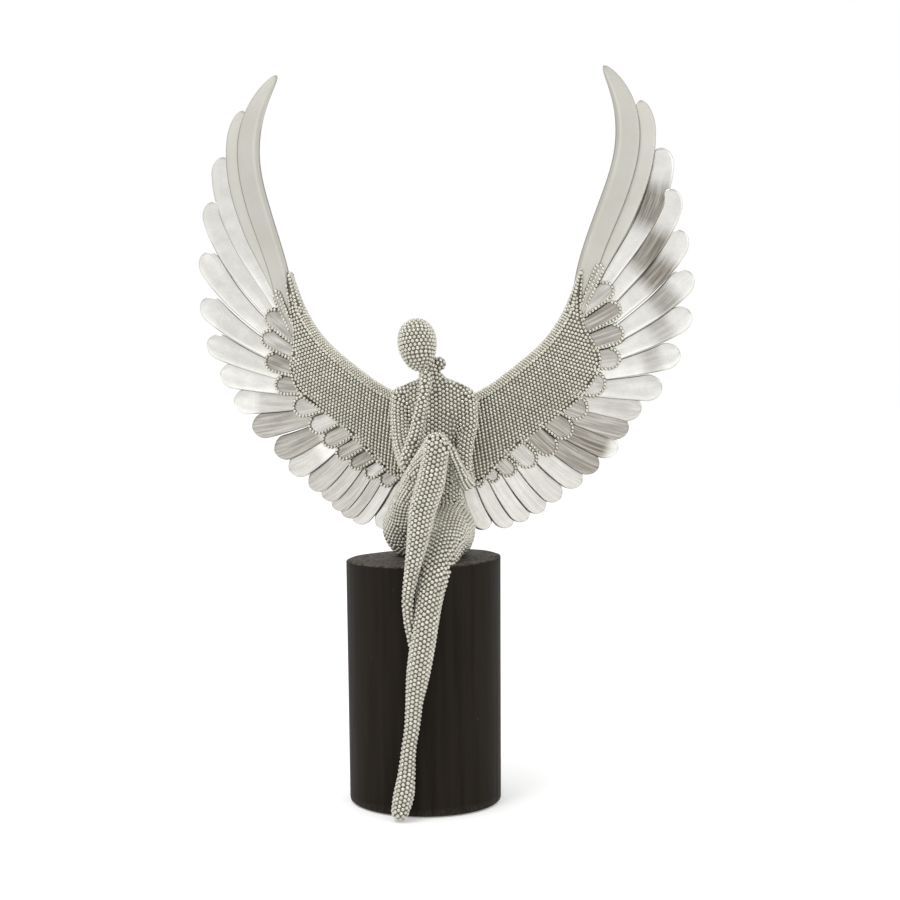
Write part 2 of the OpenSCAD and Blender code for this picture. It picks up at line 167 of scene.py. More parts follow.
def arc_length(points):
    steps = np.linalg.norm(np.diff(points, axis=0), axis=1)
    return np.concatenate([[0], np.cumsum(steps)])


def resampled(points, spacing, start=0.0, anchor=0):
    """Points every `spacing` along a polyline, one of them `start` beyond its point number `anchor`."""
    s = arc_length(points[:, :3])
    at = np.arange((s[anchor] + start) % spacing, s[-1], spacing)
    return np.stack([np.interp(at, s, points[:, k]) for k in range(points.shape[1])], axis=1)


def circle(n, ring=0):
    """n angles round a circle, half a step on when the ring's number is odd."""
    return 2 * pi * (np.arange(n) + 0.5 * (ring % 2)) / n


def unit(v):
    return v / np.maximum(np.linalg.norm(v, axis=-1, keepdims=True), 1e-9)


def smooth(u):
    t = np.clip(u, 0, 1)
    return t * t * (3 - 2 * t)


# ---- meshes ----
def skin_faces(rings, sides):
    """Quads between rings of points, and a face over each end."""
    i, j = np.meshgrid(np.arange(rings - 1), np.arange(sides), indexing="ij")
    a = i * sides + j
    b = i * sides + (j + 1) % sides
    quads = np.stack([a, b, b + sides, a + sides], axis=-1).reshape(-1, 4)
    ends = [list(range(sides))[::-1], list(range((rings - 1) * sides, rings * sides))]
    return quads.tolist() + ends


def skinned(rings):
    return np.concatenate(rings), skin_faces(len(rings), len(rings[0]))


def right_way_out(verts, faces):
    fans = np.array([(f[0], f[k], f[k + 1]) for f in faces for k in range(1, len(f) - 1)])
    a, b, c = (verts[fans[:, k]] for k in range(3))
    return faces if np.sum(a * np.cross(b, c)) > 0 else [f[::-1] for f in faces]


def put(name, data):
    """A new object in the scene."""
    obj = bpy.data.objects.new(name, data)
    bpy.context.scene.collection.objects.link(obj)
    return obj


def make_piece(name, model, finish, replaces=()):
    """One mesh object that rides on the body. A model is points, faces and the values its material reads."""
    verts, faces, values = model
    material, slot = finish
    mesh = bpy.data.meshes.new(name)
    mesh.from_pydata((verts * MM).tolist(), [], faces)
    for key, data in values.items():
        layer = mesh.attributes.new(key, "FLOAT" if data.ndim == 1 else "FLOAT_VECTOR", "POINT")
        layer.data.foreach_set("value" if data.ndim == 1 else "vector", data.ravel())
    mesh.polygons.foreach_set("use_smooth", np.ones(len(mesh.polygons), bool))
    mesh.update()
    mesh.materials.append(material)
    obj = put(name, mesh)
    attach(obj, "root")
    if replaces:
        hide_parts(*replaces)


# ---- beads ----
def dome():
    """A bead of radius 1 with its pole on +Z: points, faces and each point's share of painted shade, heaviest
    round its foot.
    """
    n, last = DOME_SIDES, (len(DOME_ANGLES) - 1) * DOME_SIDES
    points = [[cos(a) * cos(b), cos(a) * sin(b), sin(a)]
              for a in map(radians, DOME_ANGLES) for b in circle(n, ring=1)]
    faces = [[r + k, r + (k + 1) % n, r + (k + 1) % n + n, r + k + n]
             for r in range(0, last, n) for k in range(n)]
    faces += [[last + k, last + (k + 1) % n, last + n] for k in range(n)]
    return np.array(points + [[0, 0, 1]]), faces, np.append(np.repeat(DOME_RING_SHADE, n), 0)


DOME_POINTS, DOME_FACES, DOME_SHADE_BY_POINT = dome()


def bead_mesh(centres, normals, radii, wash_and_shade=1.0):
    """Points, faces and values of one bead at each centre, standing along its normal."""
    n = unit(normals)
    helper = np.where(np.abs(n[:, 2:3]) < 0.9, [[0, 0, 1.0]], [[1.0, 0, 0]])
    x = unit(np.cross(helper, n))
    y = np.cross(n, x)
    basis = np.stack([x, y, n], axis=1)
    size = np.broadcast_to(radii, len(n))
    verts = centres[:, None] + np.einsum("pk,bkc->bpc", DOME_POINTS, basis) * size[:, None, None]
    count = len(DOME_POINTS)
    faces = [[b * count + k for k in f] for b in range(len(n)) for f in DOME_FACES]
    tone = RNG.random(len(n))
    # Painted shade round each bead's foot, at the strength given, and a random tone for each bead
    return verts.reshape(-1, 3), faces, {
        "wash_and_shade": np.tile(DOME_SHADE_BY_POINT * wash_and_shade, len(n)), "tone": np.repeat(tone, count)}


def joined(models):
    """One model from several that hold the same values."""
    verts, faces, values, start = [], [], {}, 0
    for v, f, vals in models:
        verts.append(v)
        faces += [[k + start for k in face] for face in f]
        for key, data in vals.items():
            values.setdefault(key, []).append(data)
        start += len(v)
    return np.concatenate(verts), faces, {k: np.concatenate(v) for k, v in values.items()}


def washed_and_shaded(verts, faces):
    """A bare surface under beads, dark all over: a dark wash that is also painted shade between the beads."""
    return verts, faces, {"wash_and_shade": np.ones(len(verts)), "tone": np.full(len(verts), 0.5)}


def on_side(side, model):
    """A model drawn for the +X side, mirrored when side is -1."""
    verts, faces, values = model
    return mirrored(side, verts), faces if side > 0 else [f[::-1] for f in faces], values


def thinned(points, gap, kept=()):
    """Indices of the points that stay at least `gap` from every one kept before them."""
    order, clear = [], np.ones(len(points), bool)
    for p in kept:
        clear &= np.sum((points - p) ** 2, axis=1) >= gap * gap
    for i, p in enumerate(points):
        if clear[i]:
            order.append(i)
            clear &= np.sum((points - p) ** 2, axis=1) >= gap * gap
    return np.array(order, int)


# ---- the body as distance fields ----
def smooth_min(a, b, width):
    h = np.maximum(width - np.abs(a - b), 0) / width
    return np.minimum(a, b) - h * h * width / 4


def gradient(field, q, e=0.04):
    return np.stack([(field(q + d) - field(q - d)) / (2 * e) for d in np.eye(3) * e], axis=1)


def settled(q, field, level, rounds=4):
    """The points moved onto the field's surface at `level`, with their normals."""
    for _ in range(rounds):
        g = gradient(field, q)
        q = q - g * ((field(q) - level) / np.maximum(np.sum(g * g, axis=1), 0.2))[:, None]
    return q, unit(gradient(field, q))


def column_rows(length, pitch, girth, seats_at):
    """Bead seats in columns, each half a bead on from the next; a ring's count changes only when it must."""
    seats, count = [], None
    for k in range(int(length / (pitch / 2)) + 1):
        s = k * pitch / 2
        ideal = girth(s) / (2 * HEX * pitch)
        if count is None or abs(count - ideal) > 0.55 + 0.04 * ideal:
            count = max(3, round(ideal))
        seats.append(seats_at(s, np.arange(count) + 0.5 * (k % 2), count))
    return np.concatenate(seats)


class Limb:
    """A chain of balls along a smooth curve."""

    def __init__(self, stations, start):
        s = spline(stations, np.linspace(0, 1, 10 * (len(stations) - 1) + 1))
        self.centres, self.radii = s[:, :3], s[:, 3]
        self.along = arc_length(self.centres)
        self.tangents = unit(np.gradient(self.centres, axis=0)) if len(s) > 1 else np.array([[0, 0, 1.0]])
        sides, ref = [], np.asarray(start, float)
        for t in self.tangents:
            ref = unit(ref - t * np.dot(ref, t))
            sides.append(ref)
        self.sides = np.array(sides)
        self.others = np.cross(self.tangents, self.sides)

    def field(self, q):
        return np.min([np.linalg.norm(q - c, axis=1) - r for c, r in zip(self.centres, self.radii)], axis=0)

    def square(self, angles, sides, others):
        """Directions square to the curve."""
        return np.cos(angles)[:, None] * sides + np.sin(angles)[:, None] * others

    def ring(self, s, angles, inset):
        centre, side, other = (np.array([np.interp(s, self.along, a[:, k]) for k in range(3)])
                               for a in (self.centres, self.sides, self.others))
        return centre + (np.interp(s, self.along, self.radii) - inset) * self.square(angles, side, other)

    def cap_ring(self, end, lat, angles, inset):
        """A ring on a limb's round end, at an angle from its pole."""
        axis = self.tangents[end] * (1 if end else -1)
        square = self.square(angles, self.sides[end], self.others[end])
        return self.centres[end] + (self.radii[end] - inset) * (np.cos(lat) * axis + np.sin(lat) * square)

    def seats(self, pitch, inset):
        rows = column_rows(self.along[-1], pitch,
                           lambda s: 2 * pi * (np.interp(s, self.along, self.radii) - inset),
                           lambda s, turns, count: self.ring(s, 2 * pi * turns / count, inset))
        return np.concatenate([rows, self.cap(0, pitch, inset), self.cap(-1, pitch, inset)])

    def cap(self, end, pitch, inset):
        """Bead seats over a limb's round end."""
        r = self.radii[end] - inset
        seats = [self.cap_ring(end, 0, np.zeros(1), inset)]
        for k in range(1, int(pi / 2 * r / (pitch * HEX)) + 1):
            lat = k * pitch * HEX / r
            n = max(3, round(2 * pi * r * sin(lat) / pitch))
            seats.append(self.cap_ring(end, lat, circle(n, k), inset))
        return np.concatenate(seats)

    def skin(self, inset, sides=20):
        angles = circle(sides)
        caps = np.radians([4, 30, 60])
        steps = np.linspace(0, self.along[-1], max(2, int(self.along[-1] / 1.5)))
        rings = [self.cap_ring(0, lat, angles, inset) for lat in caps]
        rings += [self.ring(s, angles, inset) for s in steps]
        rings += [self.cap_ring(-1, lat, angles, inset) for lat in caps[::-1]]
        return skinned(rings)


class Trunk:
    """The torso: ellipses lofted up the spine."""

    def __init__(self, stations):
        s = spline(stations, np.linspace(0, 1, 400))
        self.z = s[:, 2]
        self.columns = s[:, [0, 1, 3, 4]]
        self.along = arc_length(s[:, [2, 3]])

    def at(self, z):
        return [np.interp(z, self.z, self.columns[:, k]) for k in range(4)]

    def field(self, q):
        cx, cy, a, b = self.at(q[:, 2])
        dx, dy = q[:, 0] - cx, q[:, 1] - cy
        k = np.sqrt((dx / a) ** 2 + (dy / b) ** 2)
        slope = np.maximum(np.sqrt((dx / a ** 2) ** 2 + (dy / b ** 2) ** 2), 1e-6)
        d = np.maximum(k * (k - 1) / slope, (k - 1) * np.minimum(a, b))
        d = np.where(k < 1e-3, -np.minimum(a, b), d)
        return np.maximum(d, np.maximum(q[:, 2] - self.z[-1], self.z[0] - q[:, 2]))

    def ellipse(self, z, turns, inset):
        """Points round the trunk at a height, evenly spaced by length; turn 0 is the front."""
        cx, cy, a, b = self.at(z)
        t = np.linspace(-pi / 2, 1.5 * pi, 181)
        loop = np.stack([(a - inset) * np.cos(t), (b - inset) * np.sin(t)], axis=1)
        s = arc_length(loop)
        where = (np.asarray(turns) % 1) * s[-1]
        x = np.interp(where, s, loop[:, 0]) + cx
        y = np.interp(where, s, loop[:, 1]) + cy
        return np.stack([x, y, np.full(len(x), float(z))], axis=1), s[-1]

    def seats(self, pitch, inset):
        height = lambda s: np.interp(s, self.along, self.z)
        return column_rows(self.along[-1], pitch, lambda s: self.ellipse(height(s), [0], inset)[1],
                           lambda s, turns, count: self.ellipse(height(s), turns / count, inset)[0])

    def skin(self, inset, sides=48):
        rings = [self.ellipse(z, np.arange(sides) / sides, inset)[0]
                 for z in np.interp(np.linspace(0, self.along[-1], 70), self.along, self.z)]
        return skinned(rings)


class Egg:
    """The head: an egg of revolution, wide end up."""

    def __init__(self):
        ax, ay = (radians(a) for a in HEAD_TILT)
        rx = np.array([[1, 0, 0], [0, cos(ax), -sin(ax)], [0, sin(ax), cos(ax)]])
        ry = np.array([[cos(ay), 0, sin(ay)], [0, 1, 0], [-sin(ay), 0, cos(ay)]])
        self.turn = ry @ rx
        self.centre = np.array(HEAD_CENTRE)

    def field(self, q):
        p = (q - self.centre) @ self.turn
        up = np.clip(p[:, 2] / HEAD_H, -1.2, 1.2)
        k = np.sqrt((p[:, 0] ** 2 + p[:, 1] ** 2) / (HEAD_R * (1 + HEAD_SWELL * up)) ** 2 + up ** 2)
        return (k - 1) * HEAD_R

    def girth(self, a, inset):
        return (HEAD_R - inset) * np.cos(a) * (1 + HEAD_SWELL * np.sin(a))

    def points(self, a, b, inset):
        r = self.girth(a, inset)
        z = (HEAD_H - inset) * np.sin(a) * np.ones_like(b)
        local = np.stack([r * np.cos(b), r * np.sin(b), z], axis=-1)
        return local @ self.turn.T + self.centre

    def seats(self, pitch, inset):
        a = np.linspace(-pi / 2, pi / 2, 200)
        radii = self.girth(a, inset)
        s = arc_length(np.stack([radii, (HEAD_H - inset) * np.sin(a)], axis=1))
        seats = []
        for k in range(int(s[-1] / (pitch * HEX)) + 1):
            lat = np.interp(s[-1] - k * pitch * HEX, s, a)
            n = max(1, round(2 * pi * np.interp(lat, a, radii) / pitch))
            seats.append(self.points(np.full(n, lat), circle(n, k), inset))
        return np.concatenate(seats)

    def skin(self, inset, sides=32):
        lats = np.radians(np.linspace(-88, 88, 24))
        rings = [self.points(np.full(sides, a), circle(sides), inset) for a in lats]
        return skinned(rings)


def box_distance(past):
    """The distance to a box, from how far each point is past its sides."""
    return np.minimum(np.max(past, axis=1), 0) + np.linalg.norm(np.maximum(past, 0), axis=1)


class Pad:
    """A flat block with rounded corners, which stands out of the back."""

    def __init__(self, half_x, low, high, corner, front, back):
        self.half, self.middle = np.array([half_x, (high - low) / 2]), (low + high) / 2
        self.corner, self.front, self.back = corner, front, back

    def field(self, q):
        flat = np.abs(q[:, [0, 2]] - [0, self.middle]) - self.half + self.corner
        deep = np.maximum(q[:, 1] - self.back, self.front - q[:, 1])
        return box_distance(np.stack([box_distance(flat) - self.corner, deep], axis=1) + 1) - 1

    def outline(self, inset):
        a = circle(48) + 0.001    # so that no point falls between two corners
        turn = np.stack([np.cos(a), np.sin(a)], axis=1)
        return np.sign(turn) * (self.half - self.corner) + turn * (self.corner - inset)

    def ring(self, flat, y):
        return np.stack([flat[:, 0], np.full(len(flat), y), flat[:, 1] + self.middle], axis=1)

    def seats(self, pitch, inset):
        edge = self.outline(inset)
        loop = np.concatenate([edge, edge[:1]])
        seats = []
        for k, y in enumerate(np.arange(self.back - inset, self.front, -pitch * HEX)):
            seats.append(self.ring(resampled(loop, pitch, (k % 2) * pitch / 2), y))
        steps = np.arange(-12, 13)
        grid = np.array([((i + 0.5 * (k % 2)) * pitch, k * pitch * HEX) for k in steps for i in steps])
        seats.append(self.ring(grid[inside(edge * 0.95, grid)], self.back - inset))
        return np.concatenate(seats)

    def skin(self, inset):
        edge = self.outline(inset)
        rings = [self.ring(edge, y) for y in np.linspace(self.front, self.back - inset, 6)]
        return skinned(rings)


UP, FRONT = (0, 0, 1), (0, -1, 0)
SHAPES = {
    "right_leg": Limb(RIGHT_LEG, UP),
    "left_leg": Limb(LEFT_LEG, UP),
    "right_arm": Limb(RIGHT_ARM, FRONT),
    "left_arm": Limb(LEFT_ARM, FRONT),
    "head": Egg(),
    "hair_bun": Limb(BUN, FRONT),
    "neck": Limb(NECK, FRONT),
    "torso": Trunk(TORSO),
    "back_pad": Pad(*BACK_PAD),
}
# How softly two parts run into each other, in millimetres
BLENDS = {("right_leg", "torso"): 5, ("left_leg", "torso"): 5, ("right_arm", "torso"): 3,
          ("left_arm", "torso"): 3, ("back_pad", "torso"): 2, ("neck", "torso"): 4, ("head", "neck"): 1.5,
          ("head", "hair_bun"): 0.8, ("neck", "hair_bun"): 0.8}


def blend_between(a, b):
    return BLENDS.get((a, b)) or BLENDS.get((b, a))


def blended(name):
    """A part's distance field with its soft joints to its neighbours."""
    partners = [(o, blend_between(name, o)) for o in SHAPES if blend_between(name, o)]

    def field(q):
        d = SHAPES[name].field(q)
        for other, width in partners:
            near = SHAPES[other].field(q)
            d = np.where(near < width + 1, smooth_min(d, np.maximum(near, d - width), width), d)
        return d

    return field


def own_side(name, q):
    """Which points belong to the part: not inside a neighbour, and on its side of a soft joint."""
    own = SHAPES[name].field(q)
    return np.all([shape.field(q) > own + (-0.6 if blend_between(name, other) else 0.5)
                   for other, shape in SHAPES.items() if other != name], axis=0)


def tree_of(points):
    tree = kdtree.KDTree(len(points))
    for i, p in enumerate(points):
        tree.insert(p, i)
    tree.balance()
    return tree


def together(found):
    return np.concatenate(list(found.values()))


def body_beads():
    """Bead seats and normals for each part of the body: rows first, then single beads in the gaps left."""
    inset = BEAD_PITCH / 2
    found, placed = {}, np.zeros((0, 3))
    for name, shape in SHAPES.items():
        q, _ = settled(shape.seats(BEAD_PITCH, inset), blended(name), -inset)
        q = q[own_side(name, q)]
        q = q[thinned(q, 0.78 * BEAD_PITCH, placed)]
        found[name] = q
        placed = np.concatenate([placed, q])
    for share in (0.7, 0.72, 0.72):
        fill_gaps(found, inset, share * BEAD_PITCH)
        relax(found, inset)
    sizes = bead_sizes(found)
    return {n: (*settled(q, blended(n), -inset, rounds=1), sizes[n]) for n, q in found.items()}


def bead_sizes(found):
    """A radius for each bead that suits the room its neighbours leave it."""
    tree = tree_of(together(found))
    sizes = {}
    for name, q in found.items():
        room = np.array([np.mean([dist for _, _, dist in tree.find_n(p, 6)][1:]) for p in q])
        sizes[name] = np.clip(room * 0.53, 0.45 * BEAD_PITCH, 0.61 * BEAD_PITCH)
    return sizes


def around(points, reach):
    """Points at a set distance from the given ones, towards a cube's corners and faces."""
    ways = np.array([w for w in itertools.product((-1, 0, 1), repeat=3) if sum(map(abs, w)) in (1, 3)], float)
    ways /= np.linalg.norm(ways, axis=1, keepdims=True)
    return (points[:, None] + reach * ways).reshape(-1, 3)


def fill_gaps(found, inset, gap):
    """Adds a bead wherever one nearly fits; relax() then makes room for it."""
    for name, shape in SHAPES.items():
        tree = tree_of(together(found))
        fine = np.concatenate([shape.seats(BEAD_PITCH / 3, inset), around(found[name], BEAD_PITCH)])
        fine = fine[[tree.find(p)[2] > 0.9 * gap for p in fine]]
        if len(fine):
            fine, _ = settled(fine, blended(name), -inset)
            fine = fine[own_side(name, fine)]
            fine = fine[np.array([tree.find(p)[2] > gap for p in fine], bool)]
            found[name] = np.concatenate([found[name], fine[thinned(fine, 0.86 * BEAD_PITCH)]])


def pushes(points, reach):
    """How far each point should move to get clear of the ones nearer than `reach`."""
    tree = tree_of(points)
    push = np.zeros_like(points)
    for i, p in enumerate(points):
        for near, k, dist in tree.find_range(p, reach):
            if k != i and dist > 1e-6:
                push[i] += (p - np.array(near)) / dist * (reach - dist) * 0.38
    return push


def relax(found, inset, rounds=10):
    """Pushes crowded beads apart and settles them on the surface again."""
    for _ in range(rounds):
        push = pushes(together(found), BEAD_PITCH * 0.99)
        start = 0
        for name, q in found.items():
            moved = q + push[start:start + len(q)]
            start += len(q)
            found[name], _ = settled(moved, blended(name), -inset, rounds=1)


def eased(flat, fixed, pitch, rounds=8):
    """Flat points pushed apart until each has room beside the others and beside the fixed ones."""
    for _ in range(rounds):
        everything = np.pad(np.concatenate([fixed, flat]), ((0, 0), (0, 1)))
        flat = flat + pushes(everything, pitch * 0.98)[len(fixed):, :2]
    return flat


# ---- wing surfaces, drawn for the +X side ----
def wing_depth(x, z):
    dish = WING_DISH * (np.hypot(x, z - 300) - 84) - WING_FORWARD
    return WING_Y + smooth((x - 6) / 36) * dish + TIP_LEAN * np.maximum(0, (z - 250) / 90) ** 2


def wing_normal(x, z, e=0.5):
    """The wing's front normal, towards -Y."""
    fx = (wing_depth(x + e, z) - wing_depth(x - e, z)) / (2 * e)
    fz = (wing_depth(x, z + e) - wing_depth(x, z - e)) / (2 * e)
    return unit(np.stack([fx, -np.ones_like(fx), fz], axis=-1))


def on_wing(flat, depth):
    """Flat points of x and z put into space, at a depth from the wing's middle surface."""
    return np.stack([flat[:, 0], wing_depth(*flat.T) + depth, flat[:, 1]], axis=1)


def mirrored(side, v):
    return v * np.array([side, 1, 1])


def front_d(t):
    return FRONT_D + 1.9 * t * t


def back_d(t):
    return BACK_D - 1.2 * t * t


def core_section(edge, outer, sink):
    """One closed section of the beaded core: front, rounded leading edge, back and slot for the roots."""
    w = max(np.linalg.norm(outer - edge), 0.5)
    rim = min(RIM_W, 0.45 * w)
    t = np.linspace(rim / w, 1, 12)
    a = np.radians(np.arange(-75, 80, 15))
    slot, slot_end = INNER_D + sink, 0.35
    q = np.concatenate([t[::-1] * w, rim - (rim - 0.6 * sink) * np.cos(a), t * w,
                        np.array([1, slot_end, slot_end, 1]) * w])
    d = np.concatenate([front_d(t[::-1]) + sink, MIDDLE_D + (HALF_D - sink) * np.sin(a), back_d(t) - sink,
                        [RIM_D, RIM_D, slot, slot]])
    return on_wing(edge + (outer - edge) / w * q[:, None], d)


def edge_curve(extra=22):
    """The leading edge as a dense polyline, run on straight past both ends."""
    mid = spline(EDGE, np.linspace(0, 1, 240))
    first, last = unit(mid[1] - mid[0]), unit(mid[-1] - mid[-2])
    before = mid[0] - first * np.linspace(extra, 0.5, 40)[:, None]
    after = mid[-1] + last * np.linspace(0.5, extra, 40)[:, None]
    return np.concatenate([before, mid, after])


def offset_curve(curve, distance):
    """The curve moved square to itself, down and outwards."""
    t = unit(np.gradient(curve, axis=0))
    return curve + np.stack([t[:, 1], -t[:, 0]], axis=1) * distance


def inside(polygon, points):
    """Which points lie inside the polygon."""
    x, z = points[:, 0], points[:, 1]
    hit = np.zeros(len(points), bool)
    for a, b in zip(polygon, np.roll(polygon, -1, axis=0)):
        crosses = (a[1] > z) != (b[1] > z)
        with np.errstate(divide="ignore", invalid="ignore"):
            hit ^= crosses & (x < (b[0] - a[0]) * (z - a[1]) / (b[1] - a[1]) + a[0])
    return hit


def panel_share(panel, points):
    """How far each point lies from the leading edge to the panel's outer edge, from 0 to 1."""
    s = np.linspace(0, 1, 90)
    e, o = spline(EDGE, s), spline(panel, s)
    t = np.linspace(0, 1, 24)
    grid = e[:, None] + (o - e)[:, None] * t[None, :, None]
    flat, share = grid.reshape(-1, 2), np.tile(t, len(s))
    return np.array([share[np.argmin(np.sum((flat - p) ** 2, axis=1))] for p in points])


def panel_beads(panel):
    """Beads on the front and back of a wing panel, in rows along the leading edge."""
    curve = edge_curve()
    s = np.linspace(0, 1, 160)
    outline = np.concatenate([spline(EDGE, s), spline(panel, s)[::-1]])
    pitch, radius = PANEL_PITCH, PANEL_PITCH / 2
    front, reach = [], 62
    for k, distance in enumerate(np.arange(RIM_W + 0.5, reach, pitch * HEX)):
        row = offset_curve(curve, distance)
        front.append(resampled(row, pitch, (k % 2) * pitch / 2, anchor=len(row) // 2))
    flat = np.concatenate(front)
    flat = flat[inside(outline, flat)]
    border = resampled(spline(panel, np.linspace(0, 1, 400)), pitch)
    flat = eased(flat[thinned(flat, 0.55 * pitch, border)], border, pitch)
    flat = np.concatenate([border, flat[inside(outline, flat)]])
    share = panel_share(panel, flat)
    models = []
    for sign, depth in ((1, front_d(share) + radius), (-1, back_d(share) - radius)):
        models.append(bead_mesh(on_wing(flat, depth), wing_normal(*flat.T) * sign, pitch * BEAD_FULLNESS))
    # The leading edge's beads take a quarter of the painted shade at their feet, the trim towards the wrist
    # most of it
    return models + [rim_beads(0, 0.8, RIM_PITCH, 0.25), rim_beads(0.8, 1, TRIM_PITCH, 0.9)]


def rim_beads(first, last, pitch, wash_and_shade):
    """Beads over the rounded leading edge, between two shares of its length; it narrows towards the wrist."""
    radius = pitch / 2
    s = np.linspace(0, 1, 400)
    edge = spline(EDGE, s)
    t = unit(np.gradient(edge, axis=0))
    outward = np.stack([-t[:, 1], t[:, 0]], axis=1)
    width = RIM_W * np.clip(0.15 + (1 - s) / 0.2 * 0.85, 0, 1)
    half = HALF_D - radius
    count = int(pi / 2 * (RIM_W + half) / (pitch * HEX))
    chosen = (s >= first) & (s <= last)
    rows = []
    for k in range(count + 1):
        a = radians(-90 + 180 * k / count)
        q = width - (width - 0.6 * radius) * cos(a)
        places = on_wing(edge - outward * q[:, None], MIDDLE_D + half * sin(a))
        normals = np.insert(outward * cos(a), 1, sin(a), axis=1)
        rows.append(resampled(np.hstack([places, normals])[chosen], pitch, (k % 2) * pitch / 2))
    seats = np.concatenate(rows)
    seats = seats[thinned(seats[:, :3], 0.7 * pitch)]
    return bead_mesh(seats[:, :3], seats[:, 3:], pitch * BEAD_FULLNESS, wash_and_shade)


# ---- feathers and coverts ----
def across(curve, i, n, direction):
    lo, hi = max(i - 0.5, 0), min(i + 0.5, n - 1)
    a, b = spline(curve, lo / (n - 1))[0], spline(curve, hi / (n - 1))[0]
    d = (b - a) / (hi - lo)
    return abs(d[0] * direction[1] - d[1] * direction[0])


class Vane:
    """One feather's outline: a bowed centre line with a width along it and a tip rounded over some widths."""

    def __init__(self, root, tip, bow, w0, w1, growth, round_tip):
        self.root, self.tip, self.bow = root, tip, bow
        self.w0, self.w1, self.growth = w0, w1, growth
        self.direction = unit(tip - root)
        self.length = np.linalg.norm(tip - root)
        self.start = 1 - round_tip * w1 / self.length

    def middle(self, t):
        t = t[..., None]
        right = np.array([self.direction[1], -self.direction[0]])
        return self.root + (self.tip - self.root) * t + right * self.bow * BOW_SCALE * t * t * (1 - t)

    def half_width(self, t):
        taper = np.sqrt(np.maximum(0, 1 - (np.maximum(t - self.start, 0) / (1 - self.start)) ** 2))
        grown = self.w0 + (self.w1 - self.w0) * np.clip(t * self.growth, 0, 1)
        return grown / 2 * taper

    def side(self, t):
        d = unit(self.middle(t + 0.01) - self.middle(t - 0.01))
        return np.stack([-d[..., 1], d[..., 0]], axis=-1)

    def steps(self, n):
        """Stations along the vane, closer together round its tip."""
        u = np.linspace(0, 1, n)
        body = self.start * np.minimum(u * 2, 1)
        tip = (1 - self.start) * np.sin(np.clip(u * 2 - 1, 0, 1) * pi / 2)
        return np.where(u < 0.5, body, self.start + tip)


def vane_mesh(vane, depth, thick, roll, relief, bend=0.0, first=0.0, rings=44, cells=14, reflection_band=(0, 0, 0)):
    """The model of a feather. relief(c, t) is its front's height at c, from -1 to 1 across. bend is the share
    of its length that it sweeps back past its middle, before the tip curls forward again.
    """
    t = vane.steps(rings)
    if first < 0:
        t = np.concatenate([np.linspace(first, -0.01, 6), t])
    h = np.maximum(vane.half_width(t), 0.1)
    if first < 0:
        h *= np.clip((t - first) / -first * 0.85 + 0.15, 0, 1)
    mid, side = vane.middle(t), vane.side(t)
    c = np.sin(np.linspace(-1, 1, cells) * pi / 2)
    across_all = np.concatenate([c, c[::-1]])
    face = np.concatenate([np.ones(cells), -np.ones(cells)])
    rounding = np.sqrt(np.maximum(0, 1 - np.abs(across_all) ** 6))
    xz = mid[:, None] + side[:, None] * (h[:, None] * across_all[None])[..., None]
    front = relief(np.broadcast_to(across_all, (len(t), 2 * cells)), t[:, None])
    curl = 0.4 * np.maximum(0, (t - 0.78) / 0.22) ** 2
    sweep = vane.length * bend * (smooth((t - 0.42) / 0.36) - curl)
    y = wing_depth(xz[..., 0], xz[..., 1]) + depth + h[:, None] * roll * across_all + sweep[:, None]
    y = y - face * thick / 2 * (0.3 + 0.7 * rounding) - np.where(face > 0, front, front * 0.5)
    verts = np.stack([xz[..., 0], y, xz[..., 1]], axis=-1).reshape(-1, 3)
    along = np.broadcast_to((t * vane.length)[:, None], h[:, None].shape).repeat(2 * cells, axis=1)
    place = np.stack([h[:, None] * across_all[None], along, np.full_like(along, RNG.random() * 100)], axis=-1)
    # Painted shade: a thin dark line along both edges of each vane, fainter towards its tip, and round the
    # tip itself
    wash_and_shade = np.clip((np.abs(across_all) - 0.88) / 0.1, 0, 1)[None] * np.clip((0.86 - t) / 0.1, 0.4, 1)[:, None]
    wash_and_shade = np.maximum(wash_and_shade, 0.4 * smooth((t - 0.985) / 0.01)[:, None])
    # On the leading blade, painted shade over its face, heavier on the raised inner flank, and none on a thin
    # line along the ridge, which is left bright as a painted highlight
    if relief is blade_relief:
        outside_highlight_line = np.abs(across_all - BLADE_RIDGE) > 0.05
        wash_and_shade = np.maximum(wash_and_shade, (np.where(across_all > 0.6, 0.34, 0.15) * outside_highlight_line)[None])
    # A band of painted reflection along the vane, between two shares of its length, at the strength given
    start, end, strength = reflection_band
    reflection_dark = max(strength, 0) * smooth((t - start) / 0.12) * smooth((end - t) / 0.12)
    return verts, right_way_out(verts, skin_faces(len(t), 2 * cells)), {
        "vane": place.reshape(-1, 3), "wash_and_shade": wash_and_shade.ravel(), "reflection_band": np.repeat(reflection_dark, 2 * cells)}


def feather_vane(wing, i):
    tips, roots = wing["tips"], wing["roots"]
    n = len(tips)
    u = i / (n - 1)
    root, tip = spline(roots, u)[0], np.array(tips[i], float)
    direction = unit(tip - root)
    blade = i < len(BLADE_WIDTHS)
    w0 = 9 if i == 0 else max(4, across(roots, i, n, direction) * 1.15)
    w1 = BLADE_WIDTHS[i] if blade else spline(np.c_[WIDTHS], u)[0, 0]
    bow = BLADE_BOWS[i] if blade else spline(np.c_[BOWS], u)[0, 0]
    return Vane(root, tip, bow, w0, w1, 2.4 if blade else 1.15, 3 if i == 0 else 1.3 if blade else 0.6)


def covert_vane(wing, i):
    tips, roots, n = wing["covert_tips"], wing["covert_roots"], wing["coverts"]
    root, tip = spline(roots, i / (n - 1))[0], spline(tips, i / (n - 1))[0]
    direction = unit(tip - root)
    w1 = across(tips, i, n, direction) * 0.94
    w0 = across(roots, i, n, direction) * 0.9
    if i == 0:
        root, w0, w1 = root + np.array([2.2, -7]), 3, 4.6
    else:
        root = root - 3 * direction
    return Vane(root, tip, 0, w0, w1, 1, 0.5)


